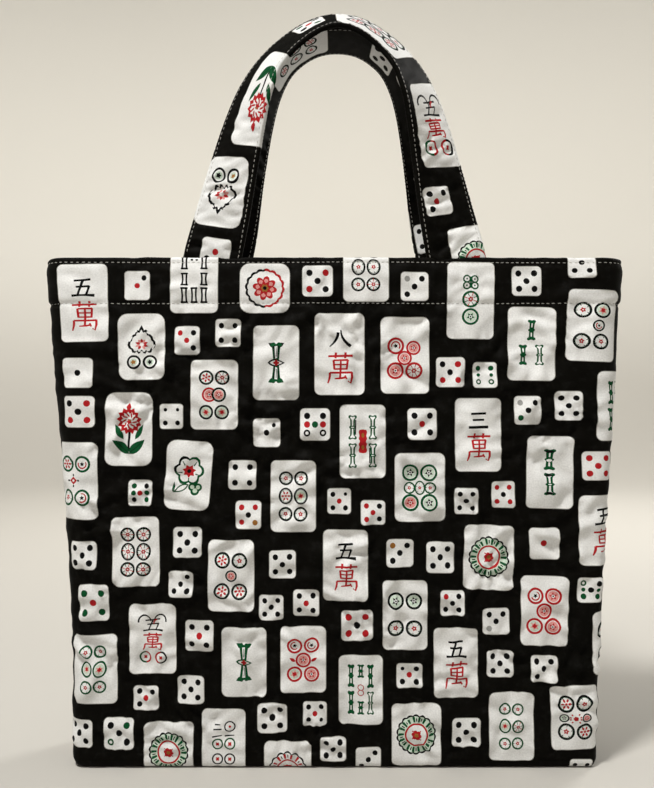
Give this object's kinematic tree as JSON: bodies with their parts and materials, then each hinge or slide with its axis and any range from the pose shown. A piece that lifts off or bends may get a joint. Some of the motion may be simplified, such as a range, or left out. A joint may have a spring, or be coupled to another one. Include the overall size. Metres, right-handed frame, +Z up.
{
  "type": "quilted tote bag",
  "caption": "Quilted cotton tote bag with a boxed bottom and strap handles, printed with game tiles and dice, for carrying a tile game and its racks.",
  "frame": {"origin": "centre of the underside of the base, at the floor", "axes": "+Z up towards the handles, -Y towards the front panel, +X to the right seen from the front"},
  "size_m": [0.4124, 0.0796, 0.5297],
  "materials": {
    "printed_cotton": "printed cotton, quilted",
    "lining_cotton": "plain cotton",
    "batting": "needled cotton wadding",
    "webbing": "woven cotton webbing",
    "binding_tape": "folded cotton tape"
  },
  "bodies": {
    "base": {"front_base_panel": "printed_cotton", "back_base_panel": "printed_cotton", "front_base_batting": "batting", "back_base_batting": "batting", "front_base_lining": "lining_cotton", "back_base_lining": "lining_cotton", "base_seam_binding": "binding_tape", "left_seam_binding": "binding_tape", "right_seam_binding": "binding_tape"},
    "front_wall": {"front_panel": "printed_cotton", "front_panel_batting": "batting", "front_panel_lining": "lining_cotton", "front_hem_facing": "printed_cotton", "front_hem_batting": "batting", "front_strap_tab_left": "printed_cotton", "front_strap_tab_right": "printed_cotton"},
    "back_wall": {"back_panel": "printed_cotton", "back_panel_batting": "batting", "back_panel_lining": "lining_cotton", "back_hem_facing": "printed_cotton", "back_hem_batting": "batting", "back_strap_tab_left": "printed_cotton", "back_strap_tab_right": "printed_cotton"},
    "front_handle": {"front_strap": "printed_cotton", "front_strap_core": "webbing"},
    "back_handle": {"back_strap": "printed_cotton", "back_strap_core": "webbing"}
  },
  "joints": [
    {"name": "front_wall_opens", "type": "hinge", "parent": "base", "child": "front_wall", "pos_m": [0, -0.03, 0.006], "axis": [1, 0, 0], "range_deg": [0, 5]},
    {"name": "back_wall_opens", "type": "hinge", "parent": "base", "child": "back_wall", "pos_m": [0, 0.03, 0.006], "axis": [-1, 0, 0], "range_deg": [0, 5]},
    {"name": "front_handle_folds", "type": "hinge", "parent": "front_wall", "child": "front_handle", "pos_m": [0, -0.024, 0.357], "axis": [1, 0, 0], "range_deg": [0, 168]},
    {"name": "back_handle_folds", "type": "hinge", "parent": "back_wall", "child": "back_handle", "pos_m": [0, 0.024, 0.357], "axis": [-1, 0, 0], "range_deg": [0, 168]}
  ]
}
